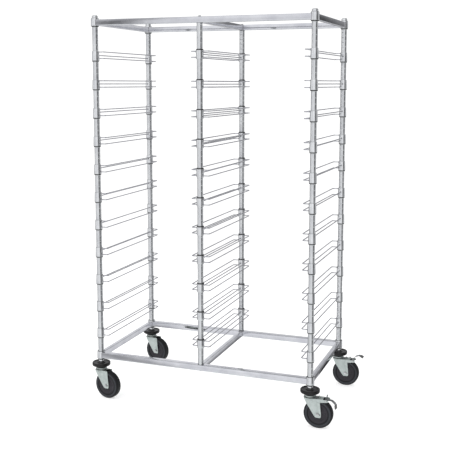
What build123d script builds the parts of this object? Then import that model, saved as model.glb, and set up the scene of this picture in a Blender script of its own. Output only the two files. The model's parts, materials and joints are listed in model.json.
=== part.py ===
from build123d import *
from build123d.topology import SkipClean
from math import ceil, floor
import os

# Two-bay mobile sheet pan rack: four corner posts and two middle posts, a welded top and
# bottom frame, eleven levels of wire tray slides held by split sleeves, four swivel casters.
# Frame: origin on the floor under the middle of the post footprint, +Z up, front is -Y.

# ---- driving dimensions, mm ----
BAY_WIDTH = 501.65  # between post axes, across one bay
DEPTH = 546.1  # between front and rear post axes
POST_RADIUS = 12.7
POST_WALL = 1.65
POST_BOTTOM = 150.0
POST_LENGTH = 1600.2
GROOVE_PITCH = 25.4
GROOVE_DEPTH = 0.6
GROOVE_WIDTH = 2.4

FIRST_LEVEL = 282.6  # lowest edge of the lowest side slides' sleeves
LEVEL_PITCH = 127.0
LEVELS = 11
BOTTOM_FRAME = FIRST_LEVEL - 4 * GROOVE_PITCH  # lowest edge of the bottom frame's sleeves
TOP_FRAME = FIRST_LEVEL + (LEVELS - 1) * LEVEL_PITCH + 6 * GROOVE_PITCH

FIT = 0.05  # gap between parts that fit in each other
LOOSE = 0.3  # gap between parts that must never touch
SLEEVE_LIP = 4.0  # height of the sleeve's lip, which shows beside its collar
SLEEVE_LIP_RADIUS = 15.9
SLEEVE_RIDGE_HEIGHT = 23.0  # from the lip's edge to the ridge that sits in a post groove
SLEEVE_RIDGE = (0.7, 0.35)  # the ridge's half width and how far it stands out
SLEEVE_SLIT_DEG = 4.0
SLEEVE_SECTORS = 3  # each half shell's round walls are divided in this many faces
COLLAR_WALL = 1.85
# from the lip's edge to the collar's far end, outer radius beside the lip, outer radius at the far end
SLIDE_COLLAR = (46.0, 16.75, 15.5)
MIDDLE_COLLAR = (41.0, 16.75, 15.5)
FRAME_COLLAR = (38.0, 18.3, 17.7)
MIDDLE_LIP = 48.0  # middle posts' sleeves stand on their heads: their lip's edge above the side sleeves'

WIRE_RADIUS = 2.38
WIRE_BEND = 8.0
WIRE_REACH = 41.0  # from the post axis to the tray-bearing run
# lower U wire, straight wire and upper U wire above the lowest edge of the side sleeves
SIDE_WIRES = (13.5, 28.0, 42.0)
MIDDLE_WIRES = (14.3, 27.0, 39.7)

RAIL_HEIGHT = 25.4
LONG_RAIL_WIDTH = 30.0  # front and rear rails
SHORT_RAIL_WIDTH = 20.0  # side rails and the cross rail
RAIL_WALL = 1.5
OVERCUT = 1.0  # how far a cutting tool runs past what it cuts
RAIL_LOW = 6.4  # rail's underside above the lowest edge of the sleeves
BOLT_RADIUS = 4.0
BOLT_HEAD_RADIUS = 6.5
BOLT_HEAD_HEIGHT = 5.0
BOLT_REACH = 20.0  # how far the bolt goes into the middle post
PLUG_LENGTH = 25.0

CAP_RADIUS = 13.9
CAP_HEIGHT = 12.5
CAP_ROUND = 5.0
CAP_TOP = POST_BOTTOM + POST_LENGTH + 6.0  # the cap's crown is 6 mm thick over the post's end

WHEEL_RADIUS = 63.5
WHEEL_WIDTH = 32.0
TREAD_ROUND = 8.0
CORE_RADIUS = 43.0
TYRE_STEP = 2.0  # width and depth of the step beside the core
# across the core's hub, web and rim: radius, and how far its face stands out from the tyre's side
CORE_FACE = ((15.0, 1.0), (17.0, -4.0), (34.0, -5.0), (36.0, -2.0), (CORE_RADIUS, -2.0))
TRAIL = 38.0  # from the swivel axis back to the axle
BUSHING_RADIUS = 8.0
AXLE_RADIUS = 5.0
AXLE_HEAD_RADIUS = 7.5
AXLE_HEAD_HEIGHT = 4.0
AXLE_END = 2.0  # thread that shows beyond the nut

FORK_GAP = 17.5  # half the space between the fork's legs
FORK_SHEET = 3.0
CROWN_RADIUS = 27.0
CROWN_LOW = 128.0
CROWN_TOP = 132.0
CROWN_FRONT = -21.0
LEG_NOSE = ((-22.0, CROWN_TOP), (-13.0, 110.0))  # leg's front edge: back from the swivel axis, height
LEG_TIP = ((-14.0, -10.0), (-7.0, -14.5), (13.0, -14.5), (15.0, -9.0))  # back and up from the axle
LEG_BACK = (10.0, 8.0)  # leg's rear edge, back from the axle, at the ears' lower edge and at the top
LEG_ROUNDS = (0.5, 30.0, 5.0, 5.0, 4.0, 8.0, 5.0)  # corner radii, in the same order
LEG_TOP_ROUND = 4.0
SPARE_HOLE = (10.0, -1.0, 2.2)  # back and up from the axle, and radius
RACE_RADIUS = 21.0
RACE_TOP = 136.7
KINGPIN_RADIUS = 6.0
KINGPIN_HEAD_RADIUS = 10.0
KINGPIN_HEAD_LOW = 122.5
STEM_RACE_RADIUS = 25.0
STEM_RACE_TOP = 142.0
STEM_HUB_RADIUS = 15.0
STEM_FLANGE_LOW = 146.0
STEM_FLANGE_RADIUS = 19.0
STEM_SHANK_LENGTH = 65.0
BUMPER_RADIUS = 42.0
BUMPER_HEIGHT = 16.0
BUMPER_ROUND = 5.0

EAR_END = 84.0  # braked forks: the legs reach back over the wheel as two ears
EAR_LOW = 119.0
PIVOT_BACK = 72.0
PIVOT_HEIGHT = 127.0
PIVOT_PIN_RADIUS = 3.0
RIVET_RADIUS = 5.0
RIVET_HEIGHT = 2.0
PEDAL_BARREL_RADIUS = 5.5
PEDAL_WIDTH = 24.0
PEDAL_SHEET = 3.0
PEDAL_LINE = ((3.0, 0.0), (24.0, -1.0), (39.0, -14.0), (41.0, -34.0))  # back and up from the pivot
PEDAL_BEND = 12.0
PEDAL_TRAVEL = 60.0
CAM_OFFSET = 4.8
CAM_RADIUS = 3.3
TAB_RADIUS = 2.5
TAB_REACH = (4.0, 22.0)  # back and up from the pivot to the end of the release tab
TIP_LENGTH = 16.0
TIP_WALL = 2.0
PLATE_START = 29.0
PLATE_END = 60.0
PLATE_SHEET = 3.0
SCREW_BACK = 41.0
SCREW_RADIUS = 3.0
SCREW_NUT_RADIUS = 6.0
SCREW_NUT_HEIGHT = 4.0
SCREW_LENGTH = 11.0

MIN_Z = (Align.CENTER, Align.CENTER, Align.MIN)
MAX_Z = (Align.CENTER, Align.CENTER, Align.MAX)
UPRIGHT = Pos(0, 0, 0)
INVERTED = Pos(0, 0, MIDDLE_LIP) * Rot(180, 0, 0)
HALF_WIDTH = BAY_WIDTH
HALF_DEPTH = DEPTH / 2
FRONT_AND_REAR = (("front", -HALF_DEPTH), ("rear", HALF_DEPTH))
# name, x, y, direction the wheel trails in (degrees from +X), braked
CASTERS = (
    ("left_front", -HALF_WIDTH, -HALF_DEPTH, -9.0, False),
    ("left_rear", -HALF_WIDTH, HALF_DEPTH, -11.0, False),
    ("right_front", HALF_WIDTH, -HALF_DEPTH, 0.0, True),
    ("right_rear", HALF_WIDTH, HALF_DEPTH, 0.0, True),
)


def save(name, solids):
    """Write one node: a single solid, or several solids that belong together."""
    solids = [s for shape in solids for s in shape.solids()]
    export_step(solids[0] if len(solids) == 1 else Compound(children=solids), f"parts/{name}.step")


def turned(profile, arc=360.0):
    """Solid of revolution about Z from (radius, z) points."""
    outline = make_face(Polyline(*[(r, 0, z) for r, z in profile], close=True))
    return revolve(outline, Axis.Z, revolution_arc=arc)


def rod(start, end, radius):
    """Straight round bar between two points."""
    axis = Vector(*end) - Vector(*start)
    return extrude(Plane(origin=start, z_dir=axis) * Circle(radius), axis.length)


def block(low, high):
    """Box between two corners."""
    size = [b - a for a, b in zip(low, high)]
    centre = [(a + b) / 2 for a, b in zip(low, high)]
    return Pos(*centre) * Box(*size)


# ---- posts, sleeves and collars ----


def post(low, high):
    """Tube with a ring of groove every inch, for the sleeves' ridges to sit in."""
    grid = FIRST_LEVEL + SLEEVE_RIDGE_HEIGHT
    first = ceil((low + GROOVE_WIDTH - grid) / GROOVE_PITCH)
    last = floor((high - GROOVE_WIDTH - grid) / GROOVE_PITCH)
    profile = [(POST_RADIUS - POST_WALL, low), (POST_RADIUS, low)]
    for i in range(first, last + 1):
        z = grid + i * GROOVE_PITCH
        profile.append((POST_RADIUS, z - GROOVE_WIDTH / 2))
        profile.append((POST_RADIUS - GROOVE_DEPTH, z))
        profile.append((POST_RADIUS, z + GROOVE_WIDTH / 2))
    profile += [(POST_RADIUS, high), (POST_RADIUS - POST_WALL, high)]
    return turned(profile)


def collar_core(size, base):
    """The space that a collar and all inside it take up."""
    top, low_radius, top_radius = size
    return turned([
        (0, base + SLEEVE_LIP),
        (low_radius, base + SLEEVE_LIP),
        (top_radius, base + top),
        (0, base + top),
    ])


def collar(size, base):
    """Tapered steel ring that wedges down over its split sleeve."""
    top, low_radius, top_radius = size
    return turned([
        (low_radius - COLLAR_WALL, base + SLEEVE_LIP),
        (low_radius, base + SLEEVE_LIP),
        (top_radius, base + top),
        (top_radius - COLLAR_WALL, base + top),
    ])


def sleeve_halves(size, base, ridge_height=SLEEVE_RIDGE_HEIGHT):
    """Two plastic half shells round the post, with a ridge inside and a lip at the foot."""
    top, low_radius, top_radius = size
    inset = COLLAR_WALL + FIT
    bore = POST_RADIUS + FIT
    ridge = base + ridge_height
    ridge_half, ridge_depth = SLEEVE_RIDGE
    lip_top = base + SLEEVE_LIP - FIT
    profile = [
        (bore, base),
        (SLEEVE_LIP_RADIUS, base),
        (SLEEVE_LIP_RADIUS, lip_top),
        (low_radius - inset, lip_top),
        (top_radius - inset, base + top),
        (bore, base + top),
        (bore, ridge + ridge_half),
        (bore - ridge_depth, ridge),
        (bore, ridge - ridge_half),
    ]
    step = (180 - SLEEVE_SLIT_DEG) / SLEEVE_SECTORS
    sector = turned(profile, step)
    with SkipClean():
        half = sector.fuse(*[Rot(0, 0, step * i) * sector for i in range(1, SLEEVE_SECTORS)])
    return [Rot(0, 0, SLEEVE_SLIT_DEG / 2 + turn) * half for turn in (0, 180)]


# ---- tray slides ----


def u_wire(x, side, height):
    """Wire that leaves the front collar into the bay, runs back and returns to the rear one."""
    start = x + side * POST_RADIUS
    run = x + side * WIRE_REACH
    path = FilletPolyline(
        (start, -HALF_DEPTH, height),
        (run, -HALF_DEPTH, height),
        (run, HALF_DEPTH, height),
        (start, HALF_DEPTH, height),
        radius=WIRE_BEND,
    )
    return sweep(Plane(origin=path @ 0, z_dir=path % 0) * Circle(WIRE_RADIUS), path)


def tray_slide(x, sides, size, stand, heights):
    """One slide: two collars, U wires each side and one straight wire; z=0 is the side sleeves' lip."""
    lower, straight, upper = heights
    wires = [rod((x, -HALF_DEPTH, straight), (x, HALF_DEPTH, straight), WIRE_RADIUS)]
    wires += [u_wire(x, side, z) for side in sides for z in (lower, upper)]
    collars = []
    for _, y in FRONT_AND_REAR:
        place = Pos(x, y, 0) * stand
        core = place * collar_core(size, 0)
        wires = [wire - core for wire in wires]
        collars.append(place * collar(size, 0))
    return collars + wires


def save_slides():
    """The side slides face into the bays, and the middle slide serves both bays."""
    side_pair = tray_slide(-HALF_WIDTH, (1,), SLIDE_COLLAR, UPRIGHT, SIDE_WIRES)
    side_pair += tray_slide(HALF_WIDTH, (-1,), SLIDE_COLLAR, UPRIGHT, SIDE_WIRES)
    middle = tray_slide(0, (-1, 1), MIDDLE_COLLAR, INVERTED, MIDDLE_WIRES)
    for level in range(LEVELS):
        lift = Pos(0, 0, FIRST_LEVEL + level * LEVEL_PITCH)
        save(f"side_slides_level_{level + 1:02d}", [lift * s for s in side_pair])
        save(f"middle_slide_level_{level + 1:02d}", [lift * s for s in middle])


# ---- frames ----


def rail(low, high, along):
    """Closed rectangular tube between two corners, open at its ends, along X (0) or Y (1)."""
    inset = [RAIL_WALL, RAIL_WALL, RAIL_WALL]
    inset[along] = -OVERCUT
    inner_low = [a + d for a, d in zip(low, inset)]
    inner_high = [b - d for b, d in zip(high, inset)]
    return block(low, high) - block(inner_low, inner_high)


def welded_frame(base):
    """Front, rear, left, right and cross rail, and a tapered collar on each corner post."""
    long, short = LONG_RAIL_WIDTH / 2, SHORT_RAIL_WIDTH / 2
    low, high = base + RAIL_LOW, base + RAIL_LOW + RAIL_HEIGHT
    reach = HALF_DEPTH - long
    rails = [
        rail((-HALF_WIDTH, y - long, low), (HALF_WIDTH, y + long, high), 0) for _, y in FRONT_AND_REAR
    ]
    rails += [
        rail((x - short, -reach, low), (x + short, reach, high), 1) for x in (-HALF_WIDTH, 0, HALF_WIDTH)
    ]
    collars = []
    for x in (-HALF_WIDTH, HALF_WIDTH):
        for _, y in FRONT_AND_REAR:
            core = Pos(x, y, 0) * collar_core(FRAME_COLLAR, base)
            rails = [r - core for r in rails]
            collars.append(Pos(x, y, 0) * collar(FRAME_COLLAR, base))
    for _, y in FRONT_AND_REAR:
        bolt_hole = Pos(0, y, (low + high) / 2) * Cylinder(BOLT_RADIUS + FIT, 2 * RAIL_HEIGHT)
        rails = [r - bolt_hole for r in rails]
    return rails + collars


def post_cap():
    """Round-topped cap that sits over the end of a corner post."""
    cap = Pos(0, 0, CAP_TOP - CAP_HEIGHT) * Cylinder(CAP_RADIUS, CAP_HEIGHT, align=MIN_Z)
    cap = fillet(cap.edges().filter_by(GeomType.CIRCLE).sort_by(Axis.Z)[-1:], CAP_ROUND)
    post_end = POST_BOTTOM + POST_LENGTH
    return cap - Pos(0, 0, post_end) * Cylinder(POST_RADIUS + FIT, CAP_HEIGHT, align=MAX_Z)


def middle_post_bolts():
    """Hex bolts through the front and rear rails into the ends of the middle posts."""
    bottom_rail = BOTTOM_FRAME + RAIL_LOW
    top_rail = TOP_FRAME + RAIL_LOW + RAIL_HEIGHT
    bolts = []
    for _, y in FRONT_AND_REAR:
        for face, way in ((bottom_rail, -1), (top_rail, 1)):
            head = Plane((0, y, face), z_dir=(0, 0, way)) * RegularPolygon(BOLT_HEAD_RADIUS, 6)
            inside = face - way * (RAIL_HEIGHT + BOLT_REACH)
            shank = rod((0, y, face), (0, y, inside), BOLT_RADIUS)
            bolts.append(extrude(head, BOLT_HEAD_HEIGHT) + shank)
    return bolts


def middle_post_plug():
    """Threaded insert pressed into the end of a middle post, from z=0 upwards."""
    bore = BOLT_RADIUS + FIT
    outer = POST_RADIUS - POST_WALL - FIT
    return turned([(bore, 0), (outer, 0), (outer, PLUG_LENGTH), (bore, PLUG_LENGTH)])


def save_structure():
    """Posts, both frames, and what holds them together."""
    corner_top = POST_BOTTOM + POST_LENGTH
    middle_low = BOTTOM_FRAME + RAIL_LOW + RAIL_HEIGHT
    middle_high = TOP_FRAME + RAIL_LOW
    corner = post(POST_BOTTOM, corner_top)
    middle = post(middle_low, middle_high)
    for place, y in FRONT_AND_REAR:
        save(f"post_left_{place}", [Pos(-HALF_WIDTH, y, 0) * corner])
        save(f"post_middle_{place}", [Pos(0, y, 0) * middle])
        save(f"post_right_{place}", [Pos(HALF_WIDTH, y, 0) * corner])
    save("bottom_frame", welded_frame(BOTTOM_FRAME))
    save("top_frame", welded_frame(TOP_FRAME))

    corners = [Pos(x, y, 0) for x in (-HALF_WIDTH, HALF_WIDTH) for _, y in FRONT_AND_REAR]
    save("post_caps", [place * post_cap() for place in corners])

    sleeves = []
    side_half = [UPRIGHT * s for s in sleeve_halves(SLIDE_COLLAR, 0)]
    middle_half = [INVERTED * s for s in sleeve_halves(MIDDLE_COLLAR, 0, MIDDLE_LIP - SLEEVE_RIDGE_HEIGHT)]
    frame_half = sleeve_halves(FRAME_COLLAR, 0)
    for x, halves in ((-HALF_WIDTH, side_half), (0, middle_half), (HALF_WIDTH, side_half)):
        for _, y in FRONT_AND_REAR:
            for level in range(LEVELS):
                place = Pos(x, y, FIRST_LEVEL + level * LEVEL_PITCH)
                sleeves += [place * s for s in halves]
    for base in (BOTTOM_FRAME, TOP_FRAME):
        sleeves += [place * Pos(0, 0, base) * s for place in corners for s in frame_half]
    save("split_sleeves", sleeves)

    plug = middle_post_plug()
    plug_heights = (middle_low, middle_high - PLUG_LENGTH)
    save("middle_post_plugs", [Pos(0, y, z) * plug for _, y in FRONT_AND_REAR for z in plug_heights])
    save("middle_post_bolts", middle_post_bolts())


# ---- casters, built about their swivel axis with the wheel trailing along +X ----


def caster_stem():
    """Shank in the post, flange, upper race, and the kingpin that carries the fork."""
    shank = POST_RADIUS - POST_WALL - FIT
    return turned([
        (0, KINGPIN_HEAD_LOW),
        (KINGPIN_HEAD_RADIUS, KINGPIN_HEAD_LOW),
        (KINGPIN_HEAD_RADIUS, CROWN_LOW - LOOSE),
        (KINGPIN_RADIUS, CROWN_LOW - LOOSE),
        (KINGPIN_RADIUS, RACE_TOP + LOOSE),
        (STEM_RACE_RADIUS, RACE_TOP + LOOSE),
        (STEM_RACE_RADIUS, STEM_RACE_TOP),
        (STEM_HUB_RADIUS, STEM_RACE_TOP),
        (STEM_HUB_RADIUS, STEM_FLANGE_LOW),
        (STEM_FLANGE_RADIUS, STEM_FLANGE_LOW),
        (STEM_FLANGE_RADIUS, POST_BOTTOM),
        (shank, POST_BOTTOM),
        (shank, POST_BOTTOM + STEM_SHANK_LENGTH),
        (0, POST_BOTTOM + STEM_SHANK_LENGTH),
    ])


def bumper():
    """Round rubber bumper on the stem's flange, about the foot of the post."""
    ring = Cylinder(BUMPER_RADIUS, BUMPER_HEIGHT) - Cylinder(POST_RADIUS + LOOSE, BUMPER_HEIGHT)
    outer = ring.edges().filter_by(GeomType.CIRCLE).sort_by(SortBy.RADIUS)[-2:]
    return Pos(0, 0, POST_BOTTOM + BUMPER_HEIGHT / 2) * fillet(outer, BUMPER_ROUND)


def leg_outline(braked):
    """Side outline of a fork leg: (back from the swivel axis, height, corner radius) for each corner."""
    low, top = LEG_BACK
    corners = list(LEG_NOSE) + [(TRAIL + back, WHEEL_RADIUS + up) for back, up in LEG_TIP]
    corners.append((TRAIL + low, EAR_LOW))
    ends = [(EAR_END, EAR_LOW), (EAR_END, CROWN_TOP)] if braked else [(TRAIL + top, CROWN_TOP)]
    radii = list(LEG_ROUNDS) + [LEG_TOP_ROUND] * len(ends)
    return [(back, height, radius) for (back, height), radius in zip(corners + ends, radii)]


def fork(braked):
    """Pressed yoke: crown plate with the lower race, two legs, and ears for the brake."""
    outline = leg_outline(braked)
    corners = [(back, 0, height) for back, height, _ in outline]
    radii = [radius for _, _, radius in outline]
    face = make_face(FilletPolyline(*corners, radius=radii, close=True))
    sheet = extrude(face, FORK_SHEET, dir=(0, 1, 0))
    body = Pos(0, FORK_GAP, 0) * sheet + Pos(0, -FORK_GAP - FORK_SHEET, 0) * sheet
    half = FORK_GAP + FORK_SHEET
    crown = turned([
        (0, CROWN_LOW),
        (CROWN_RADIUS, CROWN_LOW),
        (CROWN_RADIUS, CROWN_TOP),
        (RACE_RADIUS, CROWN_TOP),
        (RACE_RADIUS, RACE_TOP),
        (0, RACE_TOP),
    ])
    body += crown
    body += block((CROWN_FRONT, -half, CROWN_LOW), (PLATE_START, half, CROWN_TOP))
    height = RACE_TOP - CROWN_LOW
    body -= Pos(0, 0, CROWN_LOW + height / 2) * Cylinder(KINGPIN_RADIUS + FIT, 2 * height)
    body -= cross_bore(TRAIL, WHEEL_RADIUS, AXLE_RADIUS + FIT)
    spare_back, spare_up, spare_radius = SPARE_HOLE
    body -= cross_bore(TRAIL + spare_back, WHEEL_RADIUS + spare_up, spare_radius)
    if braked:
        body -= cross_bore(PIVOT_BACK, PIVOT_HEIGHT, PIVOT_PIN_RADIUS + FIT)
    return body


def cross_bore(back, height, radius):
    """Tool for a hole through both legs."""
    reach = 2 * (FORK_GAP + FORK_SHEET)
    return rod((back, -reach, height), (back, reach, height), radius)


def wheel_core():
    """Moulded hub, web and rim."""
    hub_proud = CORE_FACE[0][1]
    half = WHEEL_WIDTH / 2
    side = [(BUSHING_RADIUS + FIT, half + hub_proud)]
    side += [(radius, half + proud) for radius, proud in CORE_FACE]
    return on_axle(turned(side + [(radius, -z) for radius, z in reversed(side)]))


def tyre():
    """Round-shouldered tread bonded on the core."""
    half = WHEEL_WIDTH / 2
    ring = Cylinder(WHEEL_RADIUS, WHEEL_WIDTH) - Cylinder(CORE_RADIUS, WHEEL_WIDTH)
    shoulders = ring.edges().filter_by(GeomType.CIRCLE).sort_by(SortBy.RADIUS)[-2:]
    ring = fillet(shoulders, TREAD_ROUND)
    step = Cylinder(CORE_RADIUS + TYRE_STEP, 2 * TYRE_STEP)
    for z in (-half, half):
        ring -= Pos(0, 0, z) * step
    return on_axle(ring)


def on_axle(shape):
    """Moves a shape turned about Z onto the axle, which lies across the caster."""
    return Pos(TRAIL, 0, WHEEL_RADIUS) * Rot(90, 0, 0) * shape


def axle_set():
    """Bushing clamped between the legs, the axle bolt through it, and its nut."""
    half = FORK_GAP + FORK_SHEET
    start = -half - AXLE_HEAD_HEIGHT
    end = half + AXLE_HEAD_HEIGHT + AXLE_END
    bushing = turned([
        (AXLE_RADIUS + FIT, -FORK_GAP),
        (BUSHING_RADIUS, -FORK_GAP),
        (BUSHING_RADIUS, FORK_GAP),
        (AXLE_RADIUS + FIT, FORK_GAP),
    ])
    head = Pos(0, 0, start) * Cylinder(AXLE_HEAD_RADIUS, AXLE_HEAD_HEIGHT, align=MIN_Z)
    shank = Pos(0, 0, start) * Cylinder(AXLE_RADIUS, end - start, align=MIN_Z)
    nut = extrude(Pos(0, 0, half) * RegularPolygon(AXLE_HEAD_RADIUS, 6), AXLE_HEAD_HEIGHT)
    nut -= Pos(0, 0, half) * Cylinder(AXLE_RADIUS + FIT, 4 * AXLE_HEAD_HEIGHT)
    return [on_axle(bushing), on_axle(head + shank), on_axle(nut)]


# ---- brake, built with the pedal pressed down ----


def pedal_path():
    """Middle line of the pedal sheet: straight out from the pivot, then curved down."""
    corners = [(PIVOT_BACK + back, 0, PIVOT_HEIGHT + up) for back, up in PEDAL_LINE]
    return FilletPolyline(*corners, radius=PEDAL_BEND)


def pedal_sheet(width, sheet, start, end):
    """Bent sheet that follows the pedal's middle line between two shares of its length."""
    line = pedal_path().trim(start, end)
    section = Plane(origin=line @ 0, x_dir=(0, 1, 0), z_dir=line % 0) * Rectangle(width, sheet)
    return sweep(section, line)


def brake_pedal():
    """Barrel on the pivot pin, bent foot plate, cam just clear of the tyre, and release tab."""
    half = PEDAL_WIDTH / 2
    pivot = (PIVOT_BACK, 0, PIVOT_HEIGHT)
    barrel = rod((PIVOT_BACK, -half, PIVOT_HEIGHT), (PIVOT_BACK, half, PIVOT_HEIGHT), PEDAL_BARREL_RADIUS)
    body = barrel + pedal_sheet(PEDAL_WIDTH, PEDAL_SHEET, 0.0, 1.0)
    to_wheel = (Vector(TRAIL, 0, WHEEL_RADIUS) - Vector(*pivot)).normalized()
    cam = Vector(*pivot) + to_wheel * CAM_OFFSET
    body += rod((cam.X, -half, cam.Z), (cam.X, half, cam.Z), CAM_RADIUS)
    body += rod(pivot, (PIVOT_BACK + TAB_REACH[0], 0, PIVOT_HEIGHT + TAB_REACH[1]), TAB_RADIUS)
    body -= cross_bore(PIVOT_BACK, PIVOT_HEIGHT, PIVOT_PIN_RADIUS + FIT)
    return body


def pedal_tip():
    """Moulded pad pushed over the end of the foot plate."""
    length = pedal_path().length
    start = 1 - TIP_LENGTH / length
    pad = pedal_sheet(PEDAL_WIDTH + 2 * TIP_WALL, PEDAL_SHEET + 2 * TIP_WALL, start, 1.0)
    return pad - pedal_sheet(PEDAL_WIDTH, PEDAL_SHEET, 0.0, 1.0)


def brake_pin():
    """Pivot pin through both ears, with a rivet head outside each."""
    face = FORK_GAP + FORK_SHEET
    end = face + RIVET_HEIGHT
    pin = rod((PIVOT_BACK, -end, PIVOT_HEIGHT), (PIVOT_BACK, end, PIVOT_HEIGHT), PIVOT_PIN_RADIUS)
    for side in (-1, 1):
        inner = (PIVOT_BACK, side * face, PIVOT_HEIGHT)
        pin += rod(inner, (PIVOT_BACK, side * end, PIVOT_HEIGHT), RIVET_RADIUS)
    return pin


def brake_plate():
    """Cover plate between the ears, with the brake's adjusting screw and its lock nut."""
    low = CROWN_TOP - PLATE_SHEET
    bore = Pos(SCREW_BACK, 0, CROWN_TOP) * Cylinder(SCREW_RADIUS + FIT, 4 * SCREW_NUT_HEIGHT)
    plate = block((PLATE_START, -FORK_GAP, low), (PLATE_END, FORK_GAP, CROWN_TOP)) - bore
    nut = extrude(Pos(SCREW_BACK, 0, CROWN_TOP) * RegularPolygon(SCREW_NUT_RADIUS, 6), SCREW_NUT_HEIGHT)
    screw = Pos(SCREW_BACK, 0, low) * Cylinder(SCREW_RADIUS, SCREW_LENGTH, align=MIN_Z)
    return [plate, nut - bore, screw]


def save_casters():
    """One caster at each corner post; the right-hand pair has brakes, the rear one released."""
    placed = [(name, Pos(x, y, 0) * Rot(0, 0, turn), braked) for name, x, y, turn, braked in CASTERS]
    save("caster_stems", [place * caster_stem() for _, place, _ in placed])
    save("caster_bumpers", [place * bumper() for _, place, _ in placed])
    for name, place, braked in placed:
        save(f"fork_{name}", [place * fork(braked)])
        save(f"axle_{name}", [place * s for s in axle_set()])
        save(f"wheel_core_{name}", [place * wheel_core()])
        save(f"tyre_{name}", [place * tyre()])
        if braked:
            pivot = Pos(PIVOT_BACK, 0, PIVOT_HEIGHT)
            lift = -PEDAL_TRAVEL if name.endswith("rear") else 0.0
            state = place * pivot * Rot(0, lift, 0) * Pos(-PIVOT_BACK, 0, -PIVOT_HEIGHT)
            save(f"brake_pedal_{name}", [state * brake_pedal()])
            save(f"pedal_tip_{name}", [state * pedal_tip()])
            save(f"brake_pin_{name}", [place * brake_pin()])
            save(f"brake_plate_{name}", [place * s for s in brake_plate()])


os.makedirs("parts", exist_ok=True)
save_structure()
save_slides()
save_casters()
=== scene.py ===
import json
import random
from math import atan2, cos, pi, radians, sin, sqrt, tan

import bmesh
import bpy
from mathutils import Matrix, Vector


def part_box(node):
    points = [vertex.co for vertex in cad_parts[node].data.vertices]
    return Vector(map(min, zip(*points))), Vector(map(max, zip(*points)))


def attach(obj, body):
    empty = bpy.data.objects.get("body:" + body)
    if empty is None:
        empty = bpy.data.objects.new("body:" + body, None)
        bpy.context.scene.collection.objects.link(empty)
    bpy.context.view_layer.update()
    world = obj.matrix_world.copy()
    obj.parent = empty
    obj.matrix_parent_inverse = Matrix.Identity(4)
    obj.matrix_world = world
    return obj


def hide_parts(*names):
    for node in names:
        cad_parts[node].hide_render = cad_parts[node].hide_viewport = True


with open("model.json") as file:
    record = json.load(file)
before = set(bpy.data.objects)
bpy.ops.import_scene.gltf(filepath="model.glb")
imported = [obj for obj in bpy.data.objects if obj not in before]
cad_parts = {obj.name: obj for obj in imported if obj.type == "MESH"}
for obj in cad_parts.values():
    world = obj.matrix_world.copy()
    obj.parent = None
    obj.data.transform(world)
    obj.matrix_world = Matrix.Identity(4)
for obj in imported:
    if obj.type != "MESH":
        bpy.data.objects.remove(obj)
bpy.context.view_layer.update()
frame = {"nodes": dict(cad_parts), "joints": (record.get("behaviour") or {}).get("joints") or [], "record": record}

MM = 0.001

# Sizes that the frame's boxes don't give, in metres
LIP_HEIGHT = 4.0 * MM  # sleeve's lip beside its collar
GROOVE_PITCH = 25.4 * MM
GROOVE_DEPTH = 0.6 * MM
RIDGE_HEIGHT = 23.0 * MM  # from the sleeve's foot to the groove that it grips
POST_WALL = 1.65 * MM
COLLAR_WALL = 1.85 * MM
FIT = 0.05 * MM  # gap between pieces that fit in each other
AXIS = 0.02  # radius in mm of a turned solid's ends, which stop just short of its axis
# From the lip's edge to the collar's far end, radius beside the lip, radius at the far end
SLIDE_COLLAR = (46.0 * MM, 16.75 * MM, 15.5 * MM)
MIDDLE_COLLAR = (41.0 * MM, 16.75 * MM, 15.5 * MM)
FRAME_COLLAR = (38.0 * MM, 18.3 * MM, 17.7 * MM)
WIRE_RADIUS = 2.38 * MM
WIRE_BEND = 8.0 * MM
WIRE_REACH = 41.0 * MM  # from the post's axis to the U wire's long run
WIRE_SUNK = 0.8 * MM  # how far each wire runs into its collar
# Heights of the lower U wire, the straight wire and the upper U wire above the level's foot
SIDE_WIRES = (13.5 * MM, 28.0 * MM, 42.0 * MM)
MIDDLE_WIRES = (14.3 * MM, 27.0 * MM, 39.7 * MM)
RAIL_RISE = 6.4 * MM  # rail's underside above the sleeve's foot
RAIL_HEIGHT = 25.4 * MM
LONG_RAIL_WIDTH = 30.0 * MM
SHORT_RAIL_WIDTH = 20.0 * MM
RAIL_CORNER = 2.2 * MM
LEVELS = 11

# Posts and levels as the frame has them
LOW_POST, HIGH_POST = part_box("post_right_front")
POST_RADIUS = (HIGH_POST.x - LOW_POST.x) / 2
HALF_WIDTH = (HIGH_POST.x + LOW_POST.x) / 2
HALF_DEPTH = -(HIGH_POST.y + LOW_POST.y) / 2
POST_TOP = HIGH_POST.z
CORNERS = [(x, y) for x in (-HALF_WIDTH, HALF_WIDTH) for y in (-HALF_DEPTH, HALF_DEPTH)]
LEVEL_FOOT = [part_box(f"side_slides_level_{i + 1:02d}")[0].z - LIP_HEIGHT for i in range(LEVELS)]
MIDDLE_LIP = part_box("middle_slide_level_01")[1].z + LIP_HEIGHT - LEVEL_FOOT[0]
FRAME_FOOT = {name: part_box(name)[0].z - LIP_HEIGHT for name in ("bottom_frame", "top_frame")}


# ---------------------------------------------------------------- mesh tools


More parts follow.
